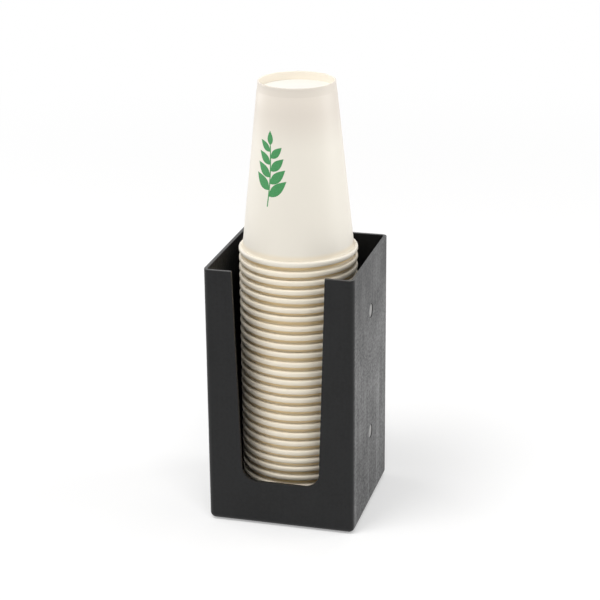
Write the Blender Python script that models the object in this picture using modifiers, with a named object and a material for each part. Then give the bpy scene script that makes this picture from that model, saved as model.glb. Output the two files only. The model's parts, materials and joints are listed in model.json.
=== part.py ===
"""Counter-top organizer for paper coffee cups: an open box with a slot in its front, and its nested stack of cups.

Units are metres and +Z is up. The front faces -Y, and the origin is on the table under the middle of the box.
"""

import math

import bmesh
import bpy
from mathutils import Matrix, Vector

# Box: one moulding, with walls and floor of one thickness
BOX_WIDTH = 0.111
BOX_DEPTH = 0.110
BOX_TOP = 0.198
WALL = 0.0025
INNER_RADIUS = 0.0018
EDGE_SEGMENTS = 4

# Slot down the front wall, open at the rim and narrowing to its sill
SLOT_RIM_WIDTH = 0.0688
SLOT_SILL_WIDTH = 0.0582
SLOT_SILL_HEIGHT = 0.0351
SLOT_CORNER_RADIUS = 0.0115
SLOT_CORNER_STEPS = 8

# Anti-slip feet, each in a shallow round pocket under the floor
FOOT_DIAMETER = 0.012
FOOT_PROUD = 0.0008
FOOT_INSET = 0.0145
FOOT_POCKET_SHARE = 0.4

# Metal discs that hold neighbouring boxes together, two sunk in each side wall
LINK_DIAMETER = 0.010
LINK_BELOW_RIM = 0.0413
LINK_ABOVE_TABLE = 0.060
LINK_POCKET_SHARE = 0.68
LINK_RECESS_SHARE = 0.16

# Gap that a piece keeps to its seat, and how far a cutter runs past what it cuts
SEAT_GAP = 0.0003
CUT_OVERRUN = 0.002
ROUND_SEGMENTS = 20

# Paper cups, rim down, each nested over the one below until their bases meet, a little behind the box's middle
CUP_COUNT = 29
CUP_HEIGHT = 0.127
CUP_PITCH = 0.00698
CUP_SIDE_CLEARANCE = 0.0087
STACK_SETBACK = 0.0024
PAPER = 0.00035
NEST_GAP = 0.00038
GLUE_GAP = 0.0001
BASE_DISC = 0.00045
ROLL_WIDTH = 0.0030
ROLL_RISE = 0.0038
ROLL_ANGLE = math.radians(70)
CUP_SEGMENTS = 24
TOP_CUP_SEGMENTS = 48

# Derived sizes of the box
EDGE_RADIUS = INNER_RADIUS + WALL
BOX_BOTTOM = FOOT_PROUD
FLOOR_TOP = BOX_BOTTOM + WALL
BOX_MOULDED_HEIGHT = BOX_TOP - BOX_BOTTOM
FOOT_POCKET = FOOT_POCKET_SHARE * WALL
LINK_POCKET = LINK_POCKET_SHARE * WALL
LINK_RECESS = LINK_RECESS_SHARE * WALL
MERGE_DISTANCE = GLUE_GAP / 100

# Derived sizes of a cup, whose heights are over the underside of its own rim
RIM_RADIUS = min(BOX_WIDTH, BOX_DEPTH) / 2 - WALL - CUP_SIDE_CLEARANCE
ROLL_HEIGHT = ROLL_RISE / 2 * math.sin(ROLL_ANGLE)
TAPER = (PAPER + NEST_GAP) / CUP_PITCH
HEM = 3 * PAPER + 2 * GLUE_GAP
DISC_TOP = CUP_HEIGHT - CUP_PITCH + BASE_DISC + SEAT_GAP
DISC_UNDERSIDE = DISC_TOP - BASE_DISC

# Finishes, as colour, roughness and metallic
BLACK_PLASTIC = ((0.030, 0.031, 0.033, 1.0), 0.50, 0.0)
GREY_RUBBER = ((0.060, 0.060, 0.062, 1.0), 0.85, 0.0)
BRUSHED_NICKEL = ((0.560, 0.560, 0.550, 1.0), 0.35, 1.0)
CUP_BOARD = ((0.860, 0.830, 0.760, 1.0), 0.60, 0.0)
BASE_BOARD = ((0.880, 0.860, 0.800, 1.0), 0.65, 0.0)


def clear_scene():
    """Removes every object that the scene starts with."""
    for old in list(bpy.data.objects):
        bpy.data.objects.remove(old, do_unlink=True)


def material(name, finish):
    """A Principled material from a finish."""
    colour, roughness, metallic = finish
    made = bpy.data.materials.new(name)
    made.use_nodes = True
    shader = made.node_tree.nodes["Principled BSDF"]
    shader.inputs["Base Color"].default_value = colour
    shader.inputs["Roughness"].default_value = roughness
    shader.inputs["Metallic"].default_value = metallic
    made.diffuse_color = colour
    return made


def add_object(name, mesh, collection, location=(0, 0, 0), parent=None):
    """An object of its own for a mesh, or an empty where there is no mesh."""
    made = bpy.data.objects.new(name, mesh)
    collection.objects.link(made)
    made.parent = parent
    made.location = location
    return made


def mesh_from(bm, name):
    """Turns a bmesh into a mesh and frees it."""
    mesh = bpy.data.meshes.new(name)
    bm.to_mesh(mesh)
    bm.free()
    return mesh


def evaluated_mesh(source):
    """The mesh that an object's modifiers make, welded and shaded smooth between its sharp edges."""
    graph = bpy.context.evaluated_depsgraph_get()
    mesh = bpy.data.meshes.new_from_object(source.evaluated_get(graph))
    bm = bmesh.new()
    bm.from_mesh(mesh)
    bmesh.ops.remove_doubles(bm, verts=bm.verts, dist=MERGE_DISTANCE)
    bm.to_mesh(mesh)
    bm.free()
    mesh.shade_smooth()
    mesh.set_sharp_from_angle(angle=math.radians(35))
    return mesh


def turned_mesh(name, profile, segments, closed, collection):
    """Turns a profile of (radius, height) points, which runs down its outer side, about the vertical axis."""
    bm = bmesh.new()
    points = [bm.verts.new((radius, 0, height)) for radius, height in profile]
    for first, second in zip(points, points[1:]):
        bm.edges.new((first, second))
    if closed:
        bm.edges.new((points[-1], points[0]))
    turning = add_object(name, mesh_from(bm, name), collection)
    screw = turning.modifiers.new("turn", "SCREW")
    screw.steps = segments
    screw.render_steps = segments
    screw.use_merge_vertices = True
    screw.merge_threshold = MERGE_DISTANCE
    mesh = evaluated_mesh(turning)
    mesh.name = name
    bpy.data.objects.remove(turning)
    return mesh


def disc_mesh(name, diameter, thickness):
    """A flat round disc that stands on its own origin."""
    bm = bmesh.new()
    bmesh.ops.create_cone(
        bm,
        cap_ends=True,
        segments=ROUND_SEGMENTS,
        radius1=diameter / 2,
        radius2=diameter / 2,
        depth=thickness,
        matrix=Matrix.Translation((0, 0, thickness / 2)),
    )
    mesh = mesh_from(bm, name)
    mesh.shade_smooth()
    mesh.set_sharp_from_angle(angle=math.radians(35))
    return mesh


def rounded_corner(before, corner, after, radius, steps):
    """Points of the arc that rounds a corner between two straight sides of an outline."""
    back = (before - corner).normalized()
    ahead = (after - corner).normalized()
    half_angle = back.angle(ahead) / 2
    reach = radius / math.tan(half_angle)
    centre = corner + (back + ahead).normalized() * (radius / math.sin(half_angle))
    start = corner + back * reach - centre
    turn = (math.pi - 2 * half_angle) / steps
    if back.x * ahead.y - back.y * ahead.x > 0:
        turn = -turn
    arc = []
    for step in range(steps + 1):
        angle = turn * step
        arc.append(
            centre
            + Vector(
                (
                    start.x * math.cos(angle) - start.y * math.sin(angle),
                    start.x * math.sin(angle) + start.y * math.cos(angle),
                )
            )
        )
    return arc


def slot_outline():
    """The slot in the plane of the front wall, as (x, height) points from its left rim round the sill."""
    top = BOX_TOP + CUT_OVERRUN
    flare = (SLOT_RIM_WIDTH - SLOT_SILL_WIDTH) / 2 / (BOX_TOP - SLOT_SILL_HEIGHT)
    top_half = SLOT_RIM_WIDTH / 2 + flare * CUT_OVERRUN
    left_top, right_top = Vector((-top_half, top)), Vector((top_half, top))
    left_foot = Vector((-SLOT_SILL_WIDTH / 2, SLOT_SILL_HEIGHT))
    right_foot = Vector((SLOT_SILL_WIDTH / 2, SLOT_SILL_HEIGHT))
    left_arc = rounded_corner(left_top, left_foot, right_foot, SLOT_CORNER_RADIUS, SLOT_CORNER_STEPS)
    right_arc = rounded_corner(left_foot, right_foot, right_top, SLOT_CORNER_RADIUS, SLOT_CORNER_STEPS)
    return [left_top, *left_arc, *right_arc, right_top]


def slot_cutter(cutters):
    """The slot's outline as a slab that stands through the front wall."""
    curve = bpy.data.curves.new("slot_outline", "CURVE")
    curve.dimensions = "2D"
    curve.fill_mode = "BOTH"
    curve.extrude = WALL + INNER_RADIUS
    line = curve.splines.new("POLY")
    outline = slot_outline()
    line.points.add(len(outline) - 1)
    for point, place in zip(line.points, outline):
        point.co = (place.x, place.y, 0, 1)
    line.use_cyclic_u = True
    drawn = add_object("slot_drawn", curve, cutters, (0, -BOX_DEPTH / 2, 0))
    drawn.rotation_euler = (math.pi / 2, 0, 0)
    bpy.context.view_layer.update()
    cutter = add_object("slot_cutter", evaluated_mesh(drawn), cutters)
    cutter.matrix_world = drawn.matrix_world
    bpy.data.objects.remove(drawn)
    return cutter


def link_places():
    """Each side disc's name, side and height, the side being 1 on the right and -1 on the left."""
    heights = {"lower": LINK_ABOVE_TABLE, "upper": BOX_TOP - LINK_BELOW_RIM}
    sides = {"left": -1, "right": 1}
    return [
        (f"link_disc_{side}_{level}", sign, height)
        for side, sign in sides.items()
        for level, height in heights.items()
    ]


def foot_places():
    """Each foot's name and its place under the box."""
    across = BOX_WIDTH / 2 - FOOT_INSET
    along = BOX_DEPTH / 2 - FOOT_INSET
    return [
        (f"foot_pad_{end}_{side}", x, y)
        for end, y in (("front", -along), ("rear", along))
        for side, x in (("left", -across), ("right", across))
    ]


def pocket_cutters(cutters):
    """Round cutters for the pockets of the side discs and of the feet."""
    made = []
    link_cut = disc_mesh("link_cut", LINK_DIAMETER + 2 * SEAT_GAP, LINK_POCKET + CUT_OVERRUN)
    for name, sign, height in link_places():
        cutter = add_object(f"{name}_cutter", link_cut, cutters)
        cutter.location = (sign * (BOX_WIDTH / 2 - LINK_POCKET), 0, height)
        cutter.rotation_euler = (0, sign * math.pi / 2, 0)
        made.append(cutter)
    foot_cut = disc_mesh("foot_cut", FOOT_DIAMETER + 2 * SEAT_GAP, FOOT_POCKET + CUT_OVERRUN)
    for name, x, y in foot_places():
        made.append(add_object(f"{name}_cutter", foot_cut, cutters, (x, y, BOX_BOTTOM - CUT_OVERRUN)))
    return made


def open_box():
    """The outside of the box as an open surface with rounded upright and floor edges."""
    bm = bmesh.new()
    bmesh.ops.create_cube(bm, size=1)
    bmesh.ops.scale(bm, vec=(BOX_WIDTH, BOX_DEPTH, BOX_MOULDED_HEIGHT), verts=bm.verts)
    bmesh.ops.translate(bm, vec=(0, 0, BOX_BOTTOM + BOX_MOULDED_HEIGHT / 2), verts=bm.verts)
    lid = max(bm.faces, key=lambda face: face.calc_center_median().z)
    rounded = [edge for edge in bm.edges if edge not in lid.edges]
    bmesh.ops.delete(bm, geom=[lid], context="FACES_ONLY")
    bmesh.ops.bevel(
        bm,
        geom=rounded,
        offset=EDGE_RADIUS,
        offset_type="OFFSET",
        segments=EDGE_SEGMENTS,
        profile=0.5,
        affect="EDGES",
    )
    return mesh_from(bm, "open_box")


def build_shell(parts, cutters):
    """The moulded box: a shell of even thickness with the front slot and the pockets cut out."""
    shell = add_object("organizer_shell", open_box(), parts)
    wall = shell.modifiers.new("wall", "SOLIDIFY")
    wall.thickness = WALL
    wall.offset = -1
    wall.use_even_offset = True
    wall.use_quality_normals = True
    used = [slot_cutter(cutters), *pocket_cutters(cutters)]
    for cutter in used:
        cut = shell.modifiers.new(cutter.name, "BOOLEAN")
        cut.operation = "DIFFERENCE"
        cut.solver = "EXACT"
        cut.object = cutter
    bpy.context.view_layer.update()
    finished = evaluated_mesh(shell)
    shell.modifiers.clear()
    shell.data = finished
    for cutter in used:
        bpy.data.objects.remove(cutter)
    shell.data.materials.append(material("black_plastic", BLACK_PLASTIC))


def build_feet(parts):
    """Four soft feet that stand a little proud of the floor and fill their pockets up to the seat gap."""
    mesh = disc_mesh("foot_pad", FOOT_DIAMETER, FOOT_PROUD + FOOT_POCKET - SEAT_GAP)
    mesh.materials.append(material("grey_rubber", GREY_RUBBER))
    for name, x, y in foot_places():
        add_object(name, mesh, parts, (x, y, 0))


def build_links(parts):
    """Two metal discs in each side wall, a little below its surface."""
    mesh = disc_mesh("link_disc", LINK_DIAMETER, LINK_POCKET - LINK_RECESS - SEAT_GAP)
    mesh.materials.append(material("brushed_nickel", BRUSHED_NICKEL))
    for name, sign, height in link_places():
        disc = add_object(name, mesh, parts)
        disc.location = (sign * (BOX_WIDTH / 2 - LINK_POCKET + SEAT_GAP), 0, height)
        disc.rotation_euler = (0, sign * math.pi / 2, 0)


def wall_radius(height, inward=0):
    """Radius of a cup's outer face at a height over its rim's underside, or of a layer further inward."""
    at_roll = RIM_RADIUS - ROLL_WIDTH + PAPER
    return at_roll - TAPER * (height - ROLL_HEIGHT) - inward


def wall_point(height, inward=0):
    """A profile point on a cup's wall, on its outer face or further inward."""
    return wall_radius(height, inward), height


def rolled_rim():
    """Profile of the oval rolled rim, from the outer face round under the roll to the inner face."""
    shoulder = RIM_RADIUS - ROLL_WIDTH / 2 * (1 - math.cos(ROLL_ANGLE))
    return [
        wall_point(2 * ROLL_HEIGHT),
        (shoulder, 2 * ROLL_HEIGHT),
        (RIM_RADIUS, ROLL_HEIGHT),
        (shoulder, 0),
        wall_point(0, PAPER),
    ]


def plain_cup_profile():
    """A cup whose glued wall and base disc are one solid, from the disc's top round to its underside."""
    return [
        (0, DISC_TOP),
        wall_point(DISC_TOP, HEM),
        wall_point(CUP_HEIGHT, HEM),
        wall_point(CUP_HEIGHT),
        *rolled_rim(),
        wall_point(DISC_UNDERSIDE, PAPER),
        (0, DISC_UNDERSIDE),
    ]


def side_wall_profile():
    """The paper side wall alone, turned in at the base into a hem that grips the base disc's flange."""
    fold_top = CUP_HEIGHT - PAPER
    fold_end = DISC_TOP + GLUE_GAP
    return [
        wall_point(CUP_HEIGHT),
        *rolled_rim(),
        wall_point(fold_top, PAPER),
        wall_point(fold_top, HEM - PAPER),
        wall_point(fold_end, HEM - PAPER),
        wall_point(fold_end, HEM),
        wall_point(CUP_HEIGHT, HEM),
    ]


def base_disc_profile():
    """The base disc with its turned flange, which stands between the side wall and its hem."""
    flange_top = CUP_HEIGHT - PAPER - GLUE_GAP
    outside = PAPER + GLUE_GAP
    inside = outside + PAPER
    return [
        (0, DISC_TOP),
        wall_point(DISC_TOP, inside),
        wall_point(flange_top, inside),
        wall_point(flange_top, outside),
        wall_point(DISC_UNDERSIDE, outside),
        (0, DISC_UNDERSIDE),
    ]


def build_cups(parts):
    """The nested stack. The top cup, whose base shows, has its side wall and its base disc apart."""
    board = material("cup_board", CUP_BOARD)
    base_board = material("base_board", BASE_BOARD)
    stack = add_object("cup_stack", None, parts, (0, STACK_SETBACK, FLOOR_TOP + SEAT_GAP))
    plain = turned_mesh("plain_cup", plain_cup_profile(), CUP_SEGMENTS, False, parts)
    plain.materials.append(board)
    for number in range(1, CUP_COUNT):
        add_object(f"cup_{number:02d}", plain, parts, (0, 0, CUP_PITCH * (number - 1)), stack)
    top = add_object("top_cup", None, parts, (0, 0, CUP_PITCH * (CUP_COUNT - 1)), stack)
    wall = turned_mesh("side_wall", side_wall_profile(), TOP_CUP_SEGMENTS, True, parts)
    wall.materials.append(board)
    base = turned_mesh("base_disc", base_disc_profile(), TOP_CUP_SEGMENTS, False, parts)
    base.materials.append(base_board)
    add_object(f"cup_{CUP_COUNT:02d}_side_wall", wall, parts, parent=top)
    add_object(f"cup_{CUP_COUNT:02d}_base_disc", base, parts, parent=top)


def main():
    """Builds the whole organizer in a fresh scene."""
    clear_scene()
    parts = bpy.data.collections.new("coffee_cup_organizer")
    cutters = bpy.data.collections.new("cutters")
    for collection in (parts, cutters):
        bpy.context.scene.collection.children.link(collection)
    build_shell(parts, cutters)
    build_feet(parts)
    build_links(parts)
    build_cups(parts)


main()
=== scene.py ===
"""The looks of a counter-top coffee cup organizer.

A moulded box with a slot down its front holds a nested stack of upturned paper cups. Units are metres and +Z is up.
The front faces -Y, and the origin is on the table under the middle of the box.
"""

import json
import logging
import random
from collections.abc import Callable
from dataclasses import dataclass, field
from enum import Enum
from math import acos, atan, copysign, cos, degrees, pi, radians, sin, tan, tau
from typing import Any

import bmesh
import bpy
from bpy.types import ID, Material, Mesh, NodeSocket, NodeTree, Object
from mathutils import Matrix, Vector

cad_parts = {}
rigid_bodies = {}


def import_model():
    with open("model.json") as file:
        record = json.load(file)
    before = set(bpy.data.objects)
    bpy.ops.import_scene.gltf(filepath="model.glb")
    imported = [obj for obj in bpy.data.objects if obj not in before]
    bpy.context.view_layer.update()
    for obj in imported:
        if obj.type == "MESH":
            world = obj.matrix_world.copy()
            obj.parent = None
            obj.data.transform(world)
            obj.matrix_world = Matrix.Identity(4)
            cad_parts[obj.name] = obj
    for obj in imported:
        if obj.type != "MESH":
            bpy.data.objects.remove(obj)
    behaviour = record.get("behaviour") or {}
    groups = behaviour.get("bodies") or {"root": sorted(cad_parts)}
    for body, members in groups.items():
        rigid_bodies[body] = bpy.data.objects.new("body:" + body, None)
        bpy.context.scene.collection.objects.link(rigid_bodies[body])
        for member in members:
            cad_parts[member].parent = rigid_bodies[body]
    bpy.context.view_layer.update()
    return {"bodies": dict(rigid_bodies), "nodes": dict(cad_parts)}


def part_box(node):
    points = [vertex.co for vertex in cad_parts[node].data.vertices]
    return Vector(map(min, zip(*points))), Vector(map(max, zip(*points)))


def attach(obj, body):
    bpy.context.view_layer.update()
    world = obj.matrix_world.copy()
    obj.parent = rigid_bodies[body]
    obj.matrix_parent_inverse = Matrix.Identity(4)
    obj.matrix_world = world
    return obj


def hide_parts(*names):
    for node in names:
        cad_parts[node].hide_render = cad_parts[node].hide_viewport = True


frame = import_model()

Colour = tuple[float, float, float]
Span = tuple[float, float]
Profile = list[tuple[float, float]]

log = logging.getLogger("organizer")

# Points nearer to each other than this become one.
MERGE = 1e-6

# The detail of a noise pattern.
RICH, PLAIN, SOFT = 3.0, 2.0, 1.0

# Where the lap fades into a cup's wall, in widths of the lap.
LAP_FADE: Span = (1.2, 0.9)

# The painted shade beside the curl, a tan for the shade in the recess between nested cups: where it fades up the wall
# and where it is full, in heights of the roll, and the least of it.
CURL_SHADE_FADE: Span = (1.95, 1.65)
CURL_SHADE_FULL = 1.2
CURL_SHADE_LEAST = 0.2

# How full a leaf is towards its foot, and the columns and rows of points on a leaf and on the stem.
LEAF_POWER = 0.8
LEAF_GRID = (5, 13)
STEM_GRID = (2, 33)

# The steps of a button's rounded rim.
RIM_STEPS = 5


class Port(Enum):
    """Kinds of sockets that a Geometry Nodes group takes."""

    GEOMETRY = "NodeSocketGeometry"
    OBJECT = "NodeSocketObject"
    MATERIAL = "NodeSocketMaterial"
    NUMBER = "NodeSocketFloat"
    COUNT = "NodeSocketInt"
    SWITCH = "NodeSocketBool"
    VECTOR = "NodeSocketVector"


class CupPart(Enum):
    """Which solids of a cup one mesh holds."""

    WHOLE = "whole"
    SIDE_WALL = "side_wall"
    BASE_DISC = "base_disc"


def operator(operation: str, reflected: bool = False) -> Callable[["Wire", Any], "Wire"]:
    """A method of a wire that adds a Math node, which takes the wire second where it is reflected."""
    return lambda wire, other: wire.net.math(operation, *((other, wire) if reflected else (wire, other)))


@dataclass(eq=False)
class Wire:
    """One output of a node. Sums and products on it add Math nodes to its tree."""

    net: "Net"
    socket: NodeSocket

    __add__, __radd__ = operator("ADD"), operator("ADD", True)
    __sub__, __rsub__ = operator("SUBTRACT"), operator("SUBTRACT", True)
    __mul__, __rmul__ = operator("MULTIPLY"), operator("MULTIPLY", True)
    __truediv__, __rtruediv__ = operator("DIVIDE"), operator("DIVIDE", True)
    __lt__, __mod__ = operator("LESS_THAN"), operator("FLOORED_MODULO")


class Net:
    """A node tree, of a material, a world or a Geometry Nodes group, that is written as expressions."""

    def __init__(self, tree: NodeTree) -> None:
        """Holds the tree."""
        self.tree = tree

    def feed(self, socket: NodeSocket, value: Any) -> None:
        """Links a wire to a socket, or sets the socket to a value.

        Args:
            socket: The input socket.
            value: A wire, a list of wires for a socket that takes several, or a plain value.
        """
        if isinstance(value, (Wire, list)):
            for wire in value if isinstance(value, list) else [value]:
                self.tree.links.new(wire.socket, socket)
        else:
            socket.default_value = (*value, 1.0) if socket.type == "RGBA" else value

    def add(self, kind: str, inputs: dict[Any, Any] | None = None, output: str | int = 0, **settings: Any) -> Wire:
        """Adds a node.

        Args:
            kind: The node's type.
            inputs: Values or wires for its sockets, by name or by number.
            output: The output that is wanted, by name or by number.
            settings: Its settings, which are set before its sockets.

        Returns:
            That output as a wire.
        """
        node = self.tree.nodes.new(kind)
        for name, value in settings.items():
            setattr(node, name, value)
        for key, value in (inputs or {}).items():
            self.feed(self.pick(node.inputs, key), value)
        return Wire(self, self.pick(node.outputs, output))

    @staticmethod
    def pick(sockets: Any, key: str | int) -> NodeSocket:
        """Finds a socket of a node.

        Args:
            sockets: The node's inputs or outputs.
            key: The socket's number, or the name of one in use.

        Returns:
            The first socket that fits.
        """
        if isinstance(key, int):
            return sockets[key]
        return next(socket for socket in sockets if socket.name == key and socket.enabled)

    def math(self, operation: str, *values: Any) -> Wire:
        """A Math node's operation on its values, which are numbers or wires."""
        return self.add("ShaderNodeMath", dict(enumerate(values)), operation=operation)

    def vector(self, x: Any, y: Any, z: Any) -> Wire:
        """A vector of three values."""
        return self.add("ShaderNodeCombineXYZ", {0: x, 1: y, 2: z})

    def parts(self, vector: Wire) -> list[Wire]:
        """The three values of a vector."""
        node = self.add("ShaderNodeSeparateXYZ", {0: vector}).socket.node
        return [Wire(self, socket) for socket in node.outputs]

    def eased(self, value: Any, low: Any, high: Any, least: float = 0.0) -> Wire:
        """Rises smoothly from the least, where value is low, to one, where it is high."""
        ends = {"Value": value, "From Min": low, "From Max": high, "To Min": least}
        return self.add("ShaderNodeMapRange", ends, interpolation_type="SMOOTHSTEP")

    def blend(self, share: Any, first: Any, second: Any) -> Wire:
        """A colour between two colours."""
        return self.add("ShaderNodeMix", {"Factor": share, "A": first, "B": second}, "Result", data_type="RGBA")


class Group(Net):
    """A Geometry Nodes group."""

    def __init__(self, name: str, ports: dict[Port, str]) -> None:
        """Starts the group, and holds its inputs as wires by name.

        Args:
            name: The group's name.
            ports: The names of its inputs of each kind, with spaces between them.
        """
        super().__init__(bpy.data.node_groups.new(name, "GeometryNodeTree"))
        for port, labels in ports.items():
            for label in labels.split():
                self.tree.interface.new_socket(name=label, in_out="INPUT", socket_type=port.value)
        self.tree.interface.new_socket(name="Geometry", in_out="OUTPUT", socket_type=Port.GEOMETRY.value)
        entry = self.tree.nodes.new("NodeGroupInput")
        self.own = {socket.name: Wire(self, socket) for socket in entry.outputs if socket.name}

    def result(self, geometry: Wire) -> "Group":
        """Ends the group with the geometry that it gives, and returns it."""
        self.feed(self.tree.nodes.new("NodeGroupOutput").inputs[0], geometry)
        return self

    def run(self, group: "Group", inputs: dict[str, Any]) -> Wire:
        """What another group makes of these inputs and, for the rest, of this group's own of the same name."""
        shared = {label: wire for label, wire in self.own.items() if label in group.own}
        return self.add("GeometryNodeGroup", shared | inputs, node_tree=group.tree)

    def shape(self, holder: Wire) -> Wire:
        """The geometry of an object."""
        return self.add("GeometryNodeObjectInfo", {"Object": holder}, "Geometry")

    def grid(self, width: Any, length: Any, columns: Any, rows: Any) -> Wire:
        """A flat grid round the origin."""
        sizes = {"Size X": width, "Size Y": length, "Vertices X": columns, "Vertices Y": rows}
        return self.add("GeometryNodeMeshGrid", sizes, "Mesh")

    def placed(self, geometry: Wire, **where: Wire) -> Wire:
        """The geometry with its points set to a Position or moved by an Offset."""
        return self.add("GeometryNodeSetPosition", {"Geometry": geometry} | where)

    def merged(self, geometry: Wire) -> Wire:
        """The geometry with its doubled points made one."""
        return self.add("GeometryNodeMergeByDistance", {"Geometry": geometry, "Distance": MERGE})

    def joined(self, *geometry: Wire) -> Wire:
        """Several geometries as one."""
        return self.add("GeometryNodeJoinGeometry", {0: list(geometry)})

    def realized(self, geometry: Wire) -> Wire:
        """The geometry with its instances made real."""
        return self.add("GeometryNodeRealizeInstances", {0: geometry})

    def marked(self, geometry: Wire, name: str, value: Wire) -> Wire:
        """The geometry with a value on its points that a material reads."""
        marks = {"Geometry": geometry, "Name": name, "Value": value}
        return self.add("GeometryNodeStoreNamedAttribute", marks, data_type="FLOAT")

    def painted(self, geometry: Wire, material: Wire) -> Wire:
        """The geometry with a material."""
        return self.add("GeometryNodeSetMaterial", {"Geometry": geometry, "Material": material})


class Surface(Net):
    """A Principled material."""

    def __init__(self, name: str) -> None:
        """Makes the material.

        Args:
            name: The material's name.
        """
        self.material = bpy.data.materials.new(name)
        self.material.use_nodes = True
        super().__init__(self.material.node_tree)
        self.place = self.add("ShaderNodeTexCoord", output="Object")

    def dressed(self, looks: dict[str, Any]) -> Material:
        """Sets or links some of the shader's sockets.

        Args:
            looks: Values or wires by the sockets' names.

        Returns:
            The material.
        """
        for name, value in looks.items():
            self.feed(self.tree.nodes["Principled BSDF"].inputs[name], value)
        return self.material

    def mark(self, name: str) -> Wire:
        """A value that the piece's points carry."""
        return self.add("ShaderNodeAttribute", output="Fac", attribute_name=name)

    def stretched(self, y: float, z: float) -> Wire:
        """The place on the piece, scaled along two axes for a pattern that runs along one of them."""
        return self.add("ShaderNodeMapping", {"Vector": self.place, "Scale": (1.0, y, z)})

    def noise(self, size: float, detail: float = PLAIN, place: Wire | None = None) -> Wire:
        """Noise whose blotches have about that size, at the piece's own place or at another one."""
        values = {"Vector": place or self.place, "Scale": 1 / size, "Detail": detail}
        return self.add("ShaderNodeTexNoise", values, "Fac")

    def relief(self, height: Wire, depth: float, normal: Wire | None = None) -> Wire:
        """A bump of a real depth in metres, for heights from zero to one, which may lie on a coarser one."""
        values = {"Strength": 1.0, "Distance": depth, "Height": height}
        return self.add("ShaderNodeBump", values | ({} if normal is None else {"Normal": normal}))


@dataclass(frozen=True)
class MouldedPlastic:
    """Black moulded plastic: a fine leather grain and faint flow streaks along the walls.

    The side walls, which rub on their neighbours, also have upright rub marks low down, one along the front corner,
    and pale specks nearly up to the rim. The rims on top have a sheen. Both are a coat over the dark colour.
    """

    dark: Colour = (0.0036, 0.0038, 0.0042)
    light: Colour = (0.0082, 0.0085, 0.0091)
    tone_span: Span = (0.35, 0.65)
    roughness: float = 0.42
    roughness_spread: float = 0.20
    specular: float = 0.29
    grain_size: float = 0.0006
    grain_depth: float = 0.00002
    mottle_size: float = 0.0018
    mottle_depth: float = 0.00004
    mottle_share: float = 0.5
    streak_width: float = 0.0022
    streak_stretch: float = 0.04
    streak_share: float = 0.22
    patch_size: float = 0.03
    patch_share: float = 0.28
    side_plane: Span = (0.0545, 0.0553)
    rub_width: float = 0.0088
    rub_span: Span = (0.45, 0.69)
    rub_share: float = 0.52
    rub_heights: Span = (0.16, 0.06)
    rub_least: float = 0.10
    corner_line: float = 0.0472
    line_reach: Span = (0.0022, 0.0006)
    line_share: float = 0.5
    speck_size: float = 0.0016
    speck_stretch: float = 0.6
    speck_span: Span = (0.45, 0.55)
    speck_share: float = 0.38
    speck_base: float = 0.005
    speck_heights: Span = (0.19, 0.12)
    speck_least: float = 0.2
    rim_plane: Span = (0.1973, 0.1979)
    rim_sheen: float = 0.28
    sheen: float = 0.72
    sheen_roughness: float = 0.32

    def material(self) -> Material:
        """Builds the finish.

        Returns:
            The material.
        """
        skin = Surface("moulded_black_plastic")
        along = skin.stretched(1.0, self.streak_stretch)
        mottle = skin.noise(self.mottle_size, RICH)
        streaks = self.streak_share * skin.noise(self.streak_width, PLAIN, along)
        patches = self.patch_share * skin.noise(self.patch_size, SOFT)
        tone = skin.eased(self.mottle_share * mottle + streaks + patches, *self.tone_span)
        soft = skin.relief(mottle, self.mottle_depth)
        looks = {
            "Base Color": skin.blend(tone, self.dark, self.light),
            "Roughness": self.roughness + self.roughness_spread * (tone - 0.5),
            "Specular IOR Level": self.specular,
            "Coat Weight": self.coat(skin, along),
            "Coat Roughness": self.sheen_roughness,
            "Normal": skin.relief(skin.noise(self.grain_size), self.grain_depth, soft),
        }
        return skin.dressed(looks)

    def coat(self, skin: Surface, along: Wire) -> Wire:
        """How strong the coat is: rub marks and specks on the side walls, and the sheen of the rims.

        Args:
            skin: The material's tree.
            along: The place, stretched for a pattern that runs up the walls.

        Returns:
            The coat's weight.
        """
        across, deep, height = skin.parts(skin.place)
        on_side = skin.eased(skin.math("ABSOLUTE", across), *self.side_plane)
        rubs = self.rub_share * skin.eased(skin.noise(self.rub_width, RICH, along), *self.rub_span)
        line = self.line_share * skin.eased(skin.math("ABSOLUTE", deep + self.corner_line), *self.line_reach)
        low_down = skin.eased(height, *self.rub_heights, self.rub_least)
        grains = skin.noise(self.speck_size, SOFT, skin.stretched(self.speck_stretch, 1.0))
        specks = self.speck_base + self.speck_share * skin.eased(grains, *self.speck_span)
        not_high = skin.eased(height, *self.speck_heights, self.speck_least)
        on_walls = on_side * (low_down * (rubs + line) + not_high * specks)
        return self.sheen * on_walls + self.rim_sheen * skin.eased(height, *self.rim_plane)


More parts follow.
